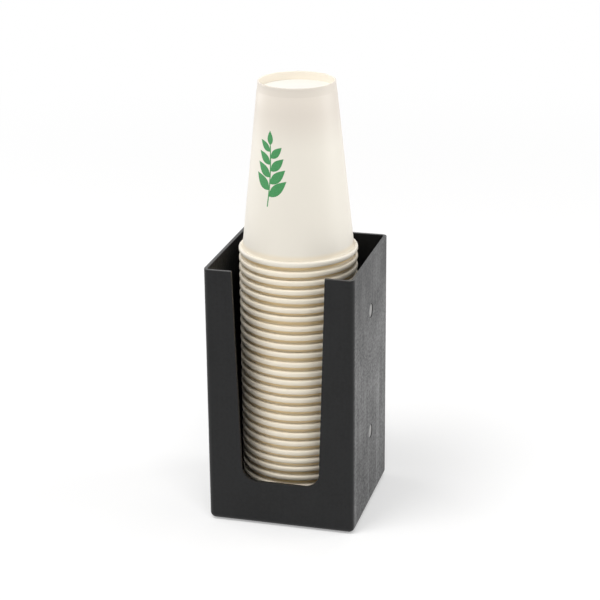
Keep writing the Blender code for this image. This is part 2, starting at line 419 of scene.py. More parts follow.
@dataclass(frozen=True)
class CoatedBoard:
    """White coated paper board with a soft fibre relief.

    Its warmth differs a little from cup to cup. Painted shade darkens it up the cup towards the base, painted light
    makes it lighter and peach at the hem, and painted shade deepens it to tan beside the rim's curl, where the wall
    lies in the recess between nested cups.
    """

    name: str = "coated_board"
    cool: Colour = (0.845, 0.800, 0.712)
    warm: Colour = (0.914, 0.862, 0.757)
    # Painted shade: the tan in the recess beside the rim's curl, between nested cups.
    curl: Colour = (0.875, 0.682, 0.385)
    # Painted shade on the walls: the darker, warmer colour up the cup towards the base. The base disc lies wholly above
    # that rise and takes it as its own colour.
    base: Colour = (0.766, 0.704, 0.624)
    # Painted light: the lighter peach of the hem's lining.
    hem: Colour = (0.975, 0.905, 0.790)
    tone_share: float = 0.6
    cloud_share: float = 0.3
    fibre_share: float = 0.1
    warmth_span: Span = (0.1, 0.9)
    # Where the painted shade towards the base begins and where it is full, in metres over the rim's underside.
    dimmed_heights: Span = (0.078, 0.110)
    roughness: float = 0.42
    roughness_spread: float = 0.12
    cloud_size: float = 0.02
    fibre_size: float = 0.0005
    fibre_stretch: float = 0.35
    fibre_depth: float = 0.000006
    cockle_size: float = 0.011
    cockle_depth: float = 0.00006

    def material(self) -> Material:
        """Builds the finish.

        Returns:
            The material.
        """
        skin = Surface(self.name)
        cloud = skin.noise(self.cloud_size, RICH)
        fibre = skin.noise(self.fibre_size, PLAIN, skin.stretched(1.0, self.fibre_stretch))
        tone = self.tone_share * skin.mark("tone") + self.cloud_share * cloud + self.fibre_share * fibre
        plain = skin.blend(skin.eased(tone, *self.warmth_span), self.cool, self.warm)
        # Painted shade: darker and warmer up the cup towards the base.
        shaded_up_cup = skin.blend(skin.eased(skin.mark("up_cup"), *self.dimmed_heights), plain, self.base)
        # Painted light: the hem's lining lighter and peach.
        walls = skin.blend(skin.mark("in_hem"), shaded_up_cup, self.hem)
        soft = skin.relief(skin.noise(self.cockle_size, SOFT), self.cockle_depth)
        looks = {
            # Painted shade: tan in the recess beside the rim's curl.
            "Base Color": skin.blend(skin.mark("near_curl"), walls, self.curl),
            "Roughness": self.roughness + self.roughness_spread * (cloud - 0.5),
            "Normal": skin.relief(fibre, self.fibre_depth, soft),
        }
        return skin.dressed(looks)


@dataclass(frozen=True)
class PrintInk:
    """Green ink on the board, a little uneven as flexo print is."""

    full: Colour = (0.042, 0.250, 0.075)
    thin: Colour = (0.075, 0.330, 0.115)
    mottle_size: float = 0.0007
    mottle_span: Span = (0.3, 0.8)
    roughness: float = 0.45
    roughness_spread: float = 0.1

    def material(self) -> Material:
        """Builds the finish.

        Returns:
            The material.
        """
        skin = Surface("green_print")
        mottle = skin.noise(self.mottle_size, RICH)
        colour = skin.blend(skin.eased(mottle, *self.mottle_span), self.full, self.thin)
        return skin.dressed({"Base Color": colour, "Roughness": self.roughness + self.roughness_spread * mottle})


@dataclass(frozen=True)
class SatinNickel:
    """Satin nickel with stains, scratches across its face and a fine blasted grain."""

    bright: Colour = (0.38, 0.377, 0.37)
    dull: Colour = (0.20, 0.198, 0.194)
    stain_size: float = 0.004
    roughness: float = 0.46
    roughness_spread: float = 0.15
    scratch_size: float = 0.002
    scratch_stretch: float = 8.0
    grain_size: float = 0.00035
    grain_depth: float = 0.000004

    def material(self) -> Material:
        """Builds the finish.

        Returns:
            The material.
        """
        skin = Surface("satin_nickel")
        scratches = skin.noise(self.scratch_size, RICH, skin.stretched(1.0, self.scratch_stretch))
        looks = {
            "Base Color": skin.blend(skin.noise(self.stain_size), self.dull, self.bright),
            "Metallic": 1.0,
            "Roughness": self.roughness + self.roughness_spread * (scratches - 0.5),
            "Normal": skin.relief(skin.noise(self.grain_size), self.grain_depth),
        }
        return skin.dressed(looks)


@dataclass(frozen=True)
class FootRubber:
    """Dark grey rubber with a matt, slightly dusty face."""

    clean: Colour = (0.030, 0.030, 0.031)
    dusty: Colour = (0.075, 0.073, 0.070)
    dust_size: float = 0.003
    dust_span: Span = (0.4, 0.7)
    roughness: float = 0.82
    roughness_spread: float = 0.1
    pore_size: float = 0.0004
    pore_depth: float = 0.00002

    def material(self) -> Material:
        """Builds the finish.

        Returns:
            The material.
        """
        skin = Surface("foot_rubber")
        dust = skin.noise(self.dust_size, RICH)
        looks = {
            "Base Color": skin.blend(skin.eased(dust, *self.dust_span), self.clean, self.dusty),
            "Roughness": self.roughness + self.roughness_spread * (dust - 0.5),
            "Normal": skin.relief(skin.noise(self.pore_size), self.pore_depth),
        }
        return skin.dressed(looks)


@dataclass(frozen=True)
class Finishes:
    """The materials that the sub-assemblies share, made once."""

    plastic: Material
    board: Material
    base_board: Material
    ink: Material
    nickel: Material
    rubber: Material

    @classmethod
    def make(cls) -> "Finishes":
        """Makes every material of the object. The base discs' board is cooler than the walls'.

        Returns:
            The materials.
        """
        base = CoatedBoard("base_board", (0.91, 0.89, 0.85), (0.895, 0.870, 0.815), base=(0.905, 0.885, 0.84))
        finishes = (MouldedPlastic(), CoatedBoard(), base, PrintInk(), SatinNickel(), FootRubber())
        return cls(*[finish.material() for finish in finishes])


def linked(name: str, data: ID) -> Object:
    """An object at the origin for a mesh whose place is in its points, or for a lamp or a lens.

    Args:
        name: The object's name.
        data: The mesh, the light or the lens.

    Returns:
        The object, linked to the scene.
    """
    made = bpy.data.objects.new(name, data)
    bpy.context.scene.collection.objects.link(made)
    return made


def meshed(name: str, bm: bmesh.types.BMesh) -> Mesh:
    """Turns a bmesh into a mesh.

    Args:
        name: The mesh's name.
        bm: The bmesh, which is freed.

    Returns:
        The mesh.
    """
    mesh = bpy.data.meshes.new(name)
    bm.to_mesh(mesh)
    bm.free()
    return mesh


def modify(target: Object, name: str, kind: str, **settings: Any) -> None:
    """Gives an object a modifier.

    Args:
        target: The object.
        name: The modifier's name.
        kind: Its type.
        settings: Its settings.
    """
    modifier = target.modifiers.new(name, kind)
    for key, value in settings.items():
        setattr(modifier, key, value)


def evaluated(source: Object, name: str) -> Mesh:
    """Works out an object's modifiers.

    Args:
        source: The object.
        name: The mesh's name.

    Returns:
        What they make, as a plain mesh.
    """
    graph = bpy.context.evaluated_depsgraph_get()
    mesh = bpy.data.meshes.new_from_object(source.evaluated_get(graph))
    mesh.name = name
    return mesh


def grown(name: str, group: Group, values: dict[str, Any], sharp: float = 40.0) -> Mesh:
    """Runs a Geometry Nodes group once and keeps what it makes as a plain mesh.

    Args:
        name: The mesh's name.
        group: The group to run.
        values: Its inputs by name, and maybe others. They are set before it is first evaluated.
        sharp: The angle in degrees from which an edge stays sharp.

    Returns:
        The mesh, closed and with its faces pointing outwards.
    """
    carrier = linked(name, bpy.data.meshes.new(name))
    modifier = carrier.modifiers.new(name, "NODES")
    modifier.node_group = group.tree
    for item in group.tree.interface.items_tree:
        if item.in_out == "INPUT" and item.name in values:
            modifier[item.identifier] = values[item.name]
    mesh = evaluated(carrier, name)
    bpy.data.objects.remove(carrier)
    bm = bmesh.new()
    bm.from_mesh(mesh)
    bmesh.ops.recalc_face_normals(bm, faces=bm.faces)
    bm.to_mesh(mesh)
    bm.free()
    mesh.shade_smooth()
    mesh.set_sharp_from_angle(angle=radians(sharp))
    return mesh


def profile_object(name: str, profile: Profile) -> Object:
    """Holds a profile as loose vertices that a lathe group reads in order.

    Args:
        name: The object's name.
        profile: The (radius, height) points.

    Returns:
        The object.
    """
    mesh = bpy.data.meshes.new(name)
    mesh.from_pydata([(radius, 0.0, height) for radius, height in profile], [], [])
    return linked(name, mesh)


def arc(centre: tuple[float, float], radius: float, start: float, end: float, steps: int) -> Profile:
    """Points of an arc in that many steps, from one angle to another in degrees from the outward direction."""
    angles = [radians(start + (end - start) * step / steps) for step in range(steps + 1)]
    return [(centre[0] + radius * cos(a), centre[1] + radius * sin(a)) for a in angles]


def thin_axis(size: Vector) -> int:
    """The axis along which a size is smallest."""
    return min(range(3), key=lambda axis: size[axis])


@dataclass(frozen=True)
class LeafSprig:
    """The printed sprig: leaves in turn left and right of a stem, and one on top.

    Its sizes have the names of the sprig group's inputs.
    """

    leaves: int = 9
    leaf_length: float = 0.0172
    leaf_width: float = 0.0078
    leaf_shrink: float = 0.40
    stem_length: float = 0.044
    stem_width: float = 0.0009
    bare_stem: float = 0.0075
    lean: float = radians(46)
    sway: float = 0.0012
    centre_height: float = 0.064
    stand_off: float = 0.000012
    ink_depth: float = 0.00003


def lathe_group() -> Group:
    """A group that turns a profile about the vertical axis, with a glued lap and a wavy lower edge.

    The first and the last column stand at the same angle. The last but one carries the lap's free edge, so that the
    edge is a crisp step, and the lap fades into the wall on its other side. The points are marked for the board's
    colour, which carries painted light and shade: how much painted shade the recess beside the rim's curl takes,
    whether they are on the outside of the hem, where light is painted, and how far up the cup, for painted shade
    towards the base.

    Returns:
        The group.
    """
    ports = {
        Port.GEOMETRY: "profile",
        Port.COUNT: "segments",
        Port.NUMBER: "turn lap_rise lap_width wave wave_phase wave_reach lift tint roll_rise hem_rows",
    }
    net = Group("turned_profile", ports)
    profile, segments, turn, rise, lap, wave, phase, reach, lift, tint, bead, hem_rows = net.own.values()
    rows = net.add("GeometryNodeAttributeDomainSize", {"Geometry": profile}, "Point Count", component="MESH")
    grid = net.grid(1.0, 1.0, segments + 2, rows)
    index = net.add("GeometryNodeInputIndex")
    column = net.math("FLOOR", (index + 0.5) / rows)
    row = index - column * rows
    here = {"Geometry": profile, "Value": net.add("GeometryNodeInputPosition"), "Index": row}
    radius, _, height = net.parts(net.add("GeometryNodeSampleIndex", here, data_type="FLOAT_VECTOR"))
    share = net.math("MINIMUM", column, segments) / segments
    before_edge = (1.0 - share) * tau * radius
    on_lap = net.eased(before_edge, *(times * lap for times in LAP_FADE)) * (column < segments + 0.5)
    wide = radius + rise * on_lap * net.eased(radius, 0.5 * lap, lap)
    angle = share * tau + turn
    bent = wave * net.math("COSINE", angle - phase) * (1.0 - net.eased(height, 0.0, reach))
    place = net.vector(wide * net.math("COSINE", angle), wide * net.math("SINE", angle), height + bent + lift)
    # Painted shade for the recess between nested cups: less on the roll's top, full on the wall above it, none further
    # up.
    nested = net.eased(height, bead, CURL_SHADE_FULL * bead, CURL_SHADE_LEAST)
    marks = {
        "near_curl": tint * nested * net.eased(height, *(times * bead for times in CURL_SHADE_FADE)),
        # Painted light on the hem's lining.
        "in_hem": (rows - hem_rows < row) * (row < rows - 0.5 * hem_rows),
        # How far up the cup, for the painted shade towards the base.
        "up_cup": height,
    }
    marked = net.placed(grid, Position=place)
    for name, value in marks.items():
        marked = net.marked(marked, name, value)
    return net.result(net.merged(marked))


def sprig_group() -> Group:
    """A group that lays a printed leaf sprig on a tapered wall.

    Returns:
        The group.
    """
    sizes = "leaf_length leaf_width leaf_shrink stem_length stem_width bare_stem lean sway centre_height stand_off"
    ports = {Port.COUNT: "leaves", Port.NUMBER: f"{sizes} ink_depth foot_radius taper turn lift"}
    net = Group("leaf_sprig", ports)
    leaves, length, width, shrink, stem, stem_width, bare, lean, sway, centre, *others = net.own.values()
    stand_off, depth, foot, taper, turn, lift = others
    x, y, _ = net.parts(net.add("GeometryNodeInputPosition"))
    along = y + 0.5
    bulge = net.math("SINE", net.math("POWER", along, LEAF_POWER) * pi)
    blade = net.vector(x * width * bulge, along * length, 0.0)
    leaf = net.merged(net.placed(net.grid(1.0, 1.0, *LEAF_GRID), Position=blade))
    last = leaves - 1.0
    index = net.add("GeometryNodeInputIndex")
    side = (1.0 - 2.0 * (index % 2.0)) * (index < last)
    size = 1.0 - shrink * index / last
    start, step = net.vector(0.0, bare, 0.0), net.vector(0.0, (stem - bare) / last, 0.0)
    line = net.add("GeometryNodeMeshLine", {"Count": leaves, "Start Location": start, "Offset": step})
    copies = {
        "Points": net.placed(line, Offset=net.vector(side * stem_width * 0.5, 0.0, 0.0)),
        "Instance": leaf,
        "Rotation": net.add("FunctionNodeEulerToRotation", {0: net.vector(0.0, 0.0, -1.0 * (side * lean))}),
        "Scale": net.vector(size, size, 1.0),
    }
    stalk = net.placed(net.grid(stem_width, stem, *STEM_GRID), Offset=net.vector(0.0, stem * 0.5, 0.0))
    sheet = net.realized(net.joined(net.add("GeometryNodeInstanceOnPoints", copies), stalk))
    out = {"Mesh": sheet, "Offset": net.vector(0.0, 0.0, 1.0), "Offset Scale": depth, "Individual": False}
    raised = net.add("GeometryNodeExtrudeMesh", out, mode="FACES")
    back = net.add("GeometryNodeFlipFaces", {"Mesh": sheet})
    across, up, out_by = net.parts(net.add("GeometryNodeInputPosition"))
    over = centre - stem * 0.5 + up
    radius = foot - taper * over
    angle = turn + (across + sway * net.math("SINE", up / stem * pi)) / radius
    proud = radius + stand_off + out_by
    place = net.vector(proud * net.math("COSINE", angle), proud * net.math("SINE", angle), over + lift)
    return net.result(net.placed(net.merged(net.joined(raised, back)), Position=place))


def cup_group(lathe: Group, sprig: Group) -> Group:
    """A group that makes one paper cup at its place in the stack, with its print opposite the lap.

    Args:
        lathe: The group that turns a profile.
        sprig: The group that lays the print on the wall.

    Returns:
        The group.
    """
    ports = {
        Port.OBJECT: "wall_profile disc_profile",
        Port.MATERIAL: "board base_board ink",
        Port.SWITCH: "with_wall with_disc",
        Port.COUNT: "segments leaves",
        Port.NUMBER: " ".join(dict.fromkeys((*list(lathe.own)[2:], *list(sprig.own)[1:], "tone"))),
    }
    net = Group("paper_cup", ports)
    wall_profile, disc_profile, board, base_board, ink, with_wall, with_disc, *_ = net.own.values()

    def chosen(switch: Wire, geometry: Wire) -> Wire:
        """The geometry where a switch is on."""
        return net.add("GeometryNodeSwitch", {"Switch": switch, "True": geometry}, input_type="GEOMETRY")

    leaf = net.painted(net.run(sprig, {"turn": net.own["turn"] + pi}), ink)
    wall = net.painted(net.run(lathe, {"profile": net.shape(wall_profile)}), board)
    # The disc takes no lap, no wave, no painted shade at the curl and no painted light at the hem.
    even = dict.fromkeys(("lap_rise", "wave", "tint", "hem_rows"), 0.0)
    disc = net.painted(net.run(lathe, {"profile": net.shape(disc_profile)} | even), base_board)
    cup = net.joined(chosen(with_wall, net.joined(wall, leaf)), chosen(with_disc, disc))
    return net.result(net.realized(net.marked(cup, "tone", net.own["tone"])))


def four_places_group(lathe: Group) -> Group:
    """A group that sets a turned button at the four corners of a rectangle, facing up or outwards to each side.

    Args:
        lathe: The group that turns a profile.

    Returns:
        The group.
    """
    ports = {
        Port.OBJECT: "button_profile",
        Port.VECTOR: "centre across along",
        Port.NUMBER: "tip",
        Port.MATERIAL: "finish",
        Port.COUNT: "segments",
    }
    net = Group("four_buttons", ports)
    button, centre, across, along, tip, finish, _ = net.own.values()
    turned = net.run(lathe, {"profile": net.shape(button)})
    x, y, _ = net.parts(net.add("GeometryNodeInputPosition"))

    def shifted(start: Wire, step: Wire, times: Wire) -> Wire:
        """The start, moved by a step a number of times."""
        return net.add("ShaderNodeVectorMath", {0: step, 1: times, 2: start}, operation="MULTIPLY_ADD")

    spots = net.placed(net.grid(2.0, 2.0, 2, 2), Position=shifted(shifted(centre, across, x), along, y))
    tilt = net.add("FunctionNodeEulerToRotation", {0: net.vector(0.0, net.math("SIGN", x) * tip, 0.0)})
    copies = net.add("GeometryNodeInstanceOnPoints", {"Points": spots, "Instance": turned, "Rotation": tilt})
    return net.result(net.painted(net.realized(copies), finish))


def button_profile(radius: float, thickness: float, edge: float) -> Profile:
    """Profile of a flat button with two rounded rims.

    Args:
        radius: Its radius.
        thickness: Its thickness.
        edge: The radius of its rims' rounds.

    Returns:
        The (radius, height) points, from the middle of the top to that of the underside.
    """
    upper = arc((radius - edge, thickness - edge), edge, 90, 0, RIM_STEPS)
    lower = arc((radius - edge, edge), edge, 0, -90, RIM_STEPS)
    return [(0.0, thickness), (radius / 2, thickness), *upper, *lower, (radius / 2, 0.0), (0.0, 0.0)]


@dataclass
class MouldedBox:
    """The box: one moulding with rounded corners, a slot down its front and shallow pockets for discs and feet."""

    finishes: Finishes
    lathe: Group
    wall: float = 0.0025
    inner_radius: float = 0.0018
    corner_segments: int = 10
    rim_round: float = 0.00045
    rim_segments: int = 3
    rim_angle: float = radians(40)
    slot_rim_width: float = 0.0688
    slot_sill_width: float = 0.0582
    slot_sill_height: float = 0.0351
    slot_corner_radius: float = 0.0115
    slot_corner_steps: int = 20
    pocket_segments: int = 40
    pocket_clearance: float = 0.0003
    button_segments: int = 48
    foot_edge: float = 0.00030
    disc_edge: float = 0.00015
    overrun: float = 0.002
    low: Vector = field(init=False)
    high: Vector = field(init=False)

    def __post_init__(self) -> None:
        """Takes the outside sizes from the frame."""
        self.low, self.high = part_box("organizer_shell")

    def outside(self) -> Mesh:
        """The outside as an open surface, with rounded upright and floor edges.

        Returns:
            Its mesh.
        """
        bm = bmesh.new()
        bmesh.ops.create_cube(bm, size=1)
        bmesh.ops.scale(bm, vec=self.high - self.low, verts=bm.verts)
        bmesh.ops.translate(bm, vec=(self.high + self.low) / 2, verts=bm.verts)
        lid = max(bm.faces, key=lambda face: face.calc_center_median().z)
        rounded = [edge for edge in bm.edges if edge not in lid.edges]
        bmesh.ops.delete(bm, geom=[lid], context="FACES_ONLY")
        sizes = {"offset": self.inner_radius + self.wall, "segments": self.corner_segments, "profile": 0.5}
        bmesh.ops.bevel(bm, geom=rounded, offset_type="OFFSET", affect="EDGES", **sizes)
        mesh = meshed("open_box", bm)
        mesh.shade_smooth()
        return mesh

    def slot_outline(self) -> Profile:
        """The slot's outline: straight sides that draw in towards a sill with rounded corners.

        Returns:
            Its (x, height) points.
        """
        rise = self.high.z - self.slot_sill_height
        flare = (self.slot_rim_width - self.slot_sill_width) / 2 / rise
        half_sill = self.slot_sill_width / 2
        lean = atan(flare)
        radius = self.slot_corner_radius
        reach = radius / tan((pi / 2 + lean) / 2)
        centre = (half_sill - reach, self.slot_sill_height + radius)
        right = arc(centre, radius, -90, -degrees(lean), self.slot_corner_steps)
        half = [*right, (half_sill + flare * (rise + self.overrun), self.high.z + self.overrun)]
        return [*half, *[(-x, height) for x, height in reversed(half)]]

    def slot_cutter(self) -> Object:
        """A slab of the slot's outline that stands through the front wall.

        Returns:
            The cutter.
        """
        bm = bmesh.new()
        reach = self.wall + self.inner_radius
        face = bm.faces.new([bm.verts.new((x, self.low.y - reach, height)) for x, height in self.slot_outline()])
        made = bmesh.ops.extrude_face_region(bm, geom=[face])
        moved = [item for item in made["geom"] if isinstance(item, bmesh.types.BMVert)]
        bmesh.ops.translate(bm, vec=(0, 2 * reach, 0), verts=moved)
        bmesh.ops.recalc_face_normals(bm, faces=bm.faces)
        return linked("slot_cutter", meshed("slot_cutter", bm))

    def pocket_cutter(self, node: str) -> Object:
        """A round cutter for the pocket that a disc or a foot lies in.

        Args:
            node: The disc's or the foot's node.

        Returns:
            The cutter, which runs from the pocket's bottom out of the box.
        """
        low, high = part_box(node)
        size, middle = high - low, (high + low) / 2
        axis = thin_axis(size)
        side = 1 if middle[axis] > (self.low + self.high)[axis] / 2 else -1
        bottom = (low[axis] if side > 0 else high[axis]) - side * self.pocket_clearance
        outside = (self.high if side > 0 else self.low)[axis] + side * self.overrun
        middle[axis] = (bottom + outside) / 2
        turn = Matrix.Rotation(pi / 2, 4, "Y") if axis == 0 else Matrix.Identity(4)
        radius = max(size) / 2 + self.pocket_clearance
        bm = bmesh.new()
        sizes = {"segments": self.pocket_segments, "radius1": radius, "radius2": radius, "depth": abs(outside - bottom)}
        bmesh.ops.create_cone(bm, cap_ends=True, matrix=Matrix.Translation(middle) @ turn, **sizes)
        return linked(f"{node}_cutter", meshed(f"{node}_cutter", bm))

    def shell(self) -> Object:
        """The box itself, with a soft round on every rim and slot edge.

        Returns:
            The piece.
        """
        box = linked("moulded_box", self.outside())
        even = {"use_even_offset": True, "use_quality_normals": True}
        modify(box, "wall", "SOLIDIFY", thickness=self.wall, offset=-1, **even)
        pockets = [name for name in frame["nodes"] if name.startswith(("link_disc", "foot_pad"))]
        cutters = [self.slot_cutter(), *[self.pocket_cutter(name) for name in sorted(pockets)]]
        for cutter in cutters:
            modify(box, cutter.name, "BOOLEAN", operation="DIFFERENCE", solver="EXACT", object=cutter)
        rims = {"width": self.rim_round, "segments": self.rim_segments}
        modify(box, "rims", "BEVEL", limit_method="ANGLE", angle_limit=self.rim_angle, **rims)
        modify(box, "even_shading", "WEIGHTED_NORMAL", keep_sharp=False, weight=100)
        bpy.context.view_layer.update()
        mesh = evaluated(box, "moulded_box")
        box.modifiers.clear()
        box.data = mesh
        for cutter in cutters:
            bpy.data.objects.remove(cutter)
        mesh.materials.clear()
        mesh.materials.append(self.finishes.plastic)
        return box

    def buttons(self) -> list[tuple[Object, list[str], str]]:
        """The rubber feet and the metal discs, each set made by one Geometry Nodes group.

        Returns:
            Each set with the nodes that it replaces and its material slot.
        """
        group = four_places_group(self.lathe)
        made = []
        for stem, edge, finish, slot in (
            ("foot_pad", self.foot_edge, self.finishes.rubber, "foot_rubber"),
            ("link_disc", self.disc_edge, self.finishes.nickel, "link_metal"),
        ):
            nodes = sorted(node for node in frame["nodes"] if node.startswith(stem))
            corners = [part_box(node) for node in nodes]
            size = corners[0][1] - corners[0][0]
            axis = thin_axis(size)
            seats = [(low + high) / 2 for low, high in corners]
            for seat, (low, high) in zip(seats, corners):
                seat[axis] = low[axis] if seat[axis] > 0 or axis == 2 else high[axis]
            centre = sum(seats, Vector()) / len(seats)
            spread = max(seats, key=sum) - centre
            profile = profile_object(f"{stem}_profile", button_profile(max(size) / 2, min(size), edge))
            values = {
                "button_profile": profile,
                "segments": self.button_segments,
                "centre": tuple(centre),
                "across": (spread.x, 0.0, 0.0),
                "along": (0.0, spread.y, spread.z),
                "tip": 0.0 if axis == 2 else pi / 2,
                "finish": finish,
            }
            made.append((linked(f"{stem}s", grown(f"{stem}s", group, values)), nodes, slot))
            bpy.data.objects.remove(profile)
        return made

    def build(self) -> None:
        """Makes the box with its feet and discs, which all ride on the box."""
        shell = self.shell()
        for piece, nodes, slot in [(shell, ["organizer_shell"], "black_plastic"), *self.buttons()]:
            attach(piece, "box")
            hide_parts(*nodes)
            log.info("%s: %d faces, for %s", piece.name, len(piece.data.polygons), ", ".join(nodes))


@dataclass
class CupStack:
    """The nested stack of upturned paper cups, each lifted by its own body."""

    finishes: Finishes
    lathe: Group
    sprig: LeafSprig = LeafSprig()
    paper: float = 0.00035
    glue_gap: float = 0.0001
    base_disc: float = 0.00045
    seat_gap: float = 0.0003
    disc_dish: float = 0.00012
    disc_fillet: float = 0.0002
    fillet_steps: int = 4
    tuck_steps: int = 5
    fold_steps: int = 8
    roll_width: float = 0.0030
    roll_rise: float = 0.0039
    roll_flatness: float = 0.75
    nest_gap: float = 0.00038
    roll_steps: int = 24
    wall_spans: int = 9
    near_roll: tuple[float, ...] = (3.0, 2.5, 2.0, 1.75, 1.5, 1.2)
    hem_rows: float = 12.5
    base_press: float = 0.00014
    disc_shares: tuple[float, ...] = (0.0, 0.25, 0.5, 0.75, 0.9)
    segments: int = 96
    top_segments: int = 168
    lap_width: float = 0.007
    lap_rise: float = 0.00016
    wave_spread: float = 0.00028
    wave_limit: float = 0.00055
    wave_reach: float = 0.011
    phase_spread: float = 0.5
    askew_cup: int = 23
    askew_wave: float = 0.00075
    seed: int = 7
    least_tone: float = 0.4
    top_tone: float = 0.05
    # How much painted shade the top cup takes beside its curl.
    top_tint: float = 0.25
    viewer_bearing: float = radians(-74.8)
    print_bearing: float = radians(-111.0)
    count: int = field(init=False)
    height: float = field(init=False)
    pitch: float = field(init=False)
    rim_radius: float = field(init=False)
    foot: float = field(init=False)
    axis: Vector = field(init=False)

    def __post_init__(self) -> None:
        """Takes the cups' sizes and places from the frame."""
        self.count = sum(body.startswith("cup_") for body in frame["bodies"])
        low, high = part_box("cup_01")
        self.height = high.z - low.z
        self.rim_radius = (high.x - low.x) / 2
        self.foot = low.z
        self.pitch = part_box("cup_02")[0].z - low.z
        self.axis = Vector(((high.x + low.x) / 2, (high.y + low.y) / 2, 0))

    @property
    def taper(self) -> float:
        """How much a wall's radius shrinks for each metre up, so that nested walls keep their gap."""
        return (self.paper + self.nest_gap) / self.pitch

    @property
    def hem(self) -> float:
        """Thickness of the folded hem: the wall, the disc's flange and the turned-in edge, with their glue."""
        return 3 * self.paper + 2 * self.glue_gap

    @property
    def foot_radius(self) -> float:
        """The wall's outer radius if it ran straight down to the underside of the rim."""
        return self.rim_radius - self.roll_width + self.paper + self.taper * self.roll_rise / 2

    @property
    def disc_top(self) -> float:
        """Height of the base disc's upper face over the underside of the rim."""
        return self.height - self.pitch + self.base_disc + self.seat_gap

    def wall_at(self, height: float, inward: float = 0.0) -> tuple[float, float]:
        """A profile point on the wall's outer face, or further inward, at a height over the rim's underside."""
        return self.foot_radius - self.taper * height - inward, height

    def rolled_rim(self, start: float) -> Profile:
        """The rim's roll, which is pressed flat in front, from its crease round to its inner side.

        Args:
            start: The crease's angle from the outward direction.

        Returns:
            Its profile.
        """
        half, middle = self.roll_width / 2, self.roll_rise / 2
        points = []
        for step in range(self.roll_steps + 1):
            angle = start - (start + pi) * step / self.roll_steps
            across, up = (copysign(abs(v) ** self.roll_flatness, v) for v in (cos(angle), sin(angle)))
            points.append((self.rim_radius - half + half * across, middle + middle * up))
        return points

    def side_wall_profile(self) -> Profile:
        """The side wall: pressed base, straight wall, rolled rim and turned-in hem.

        Its last rows run from the hem's free edge up and round the fold, and hem_rows counts them.

        Returns:
            Its closed profile.
        """
        fold_height = self.height - self.hem / 2
        fold_middle = self.wall_at(fold_height, self.hem / 2)
        press_end = self.disc_top - 3 * self.paper
        half = self.roll_width / 2
        middle = self.roll_rise / 2
        crease = acos(((half - self.paper) / half) ** (1 / self.roll_flatness))
        bead_top = middle + middle * sin(crease) ** self.roll_flatness
        straight_end, *closer = [share * bead_top for share in self.near_roll]
        steps = [step / self.wall_spans for step in range(self.wall_spans + 1)]
        heights = [*[press_end + (straight_end - press_end) * step for step in steps], *closer]
        outer = [self.wall_at(fold_height - self.paper, self.base_press)]
        outer += [self.wall_at(self.disc_top, self.base_press), self.wall_at(press_end + self.paper, self.base_press)]
        outer += [self.wall_at(height) for height in heights]
        rolled = self.rolled_rim(pi - crease)
        inner = [self.wall_at(height, self.paper) for height in (*reversed(heights), self.disc_top, fold_height)]
        tucked = arc(fold_middle, self.hem / 2 - self.paper, 20, 160, self.tuck_steps)
        hem_end = self.disc_top + self.glue_gap
        lining = [self.wall_at(height, self.hem - self.paper) for height in (fold_height, hem_end)]
        lining += [self.wall_at(height, self.hem) for height in (hem_end, fold_height)]
        folded = arc(fold_middle, self.hem / 2, 160, 10, self.fold_steps)
        return [*outer, *rolled, *inner, *tucked, *lining, *folded, outer[0]]

    def disc_profile(self) -> Profile:
        """The base disc, a little dished, with the flange that the hem grips.

        Returns:
            Its closed profile.
        """
        outside = self.paper + self.glue_gap
        flange_top = self.height - self.hem / 2 - self.paper
        fillet = self.disc_fillet
        edge = self.wall_at(self.disc_top, outside + self.paper)[0]
        under = self.disc_top - self.base_disc
        sunk = [(edge * share, -self.disc_dish * (1 - share**2)) for share in self.disc_shares]
        top = [(radius, self.disc_top + drop) for radius, drop in sunk]
        rise = arc((edge - fillet, self.disc_top + fillet), fillet, -90, -8, self.fillet_steps)
        flange = [self.wall_at(flange_top, outside + self.paper), self.wall_at(flange_top, outside)]
        outer = self.wall_at(under, outside)[0]
        turn = arc((outer - self.base_disc, under + self.base_disc), self.base_disc, -6, -90, self.fillet_steps)
        back = [(radius, under + drop) for radius, drop in reversed(sunk)]
        return [*top, *rise, *flange, *turn, *back]

    def sizes(self) -> dict[str, Any]:
        """The inputs that every cup shares, apart from its two profiles, among finishes that no cup takes."""
        names = "lap_rise lap_width wave_reach roll_rise hem_rows foot_radius taper".split()
        return vars(self.sprig) | vars(self.finishes) | {name: getattr(self, name) for name in names}

    def lot(self, number: int, draw: random.Random) -> dict[str, float]:
        """The inputs that differ from cup to cup. The top cup has no wave, a cool tone and little painted shade at its
        curl.

        Args:
            number: The cup's number from the bottom.
            draw: The seeded source of the small differences.

        Returns:
            The cup's turn, the wave of its rim, its colours, its place and its fineness.
        """
        top = number == self.count
        turn = draw.uniform(0, tau)
        wave = max(-self.wave_limit, min(self.wave_limit, draw.gauss(0, self.wave_spread)))
        phase = self.viewer_bearing + draw.gauss(0, self.phase_spread)
        tone = self.least_tone + (1 - self.least_tone) * draw.random()
        if number == self.askew_cup:
            wave, phase = self.askew_wave, self.viewer_bearing
        return {
            "turn": self.print_bearing - pi if top else turn,
            "wave": 0.0 if top else wave,
            "wave_phase": phase,
            "tone": self.top_tone if top else tone,
            "tint": self.top_tint if top else 1.0,
            "lift": self.foot + self.pitch * (number - 1),
            "segments": self.top_segments if top else self.segments,
        }

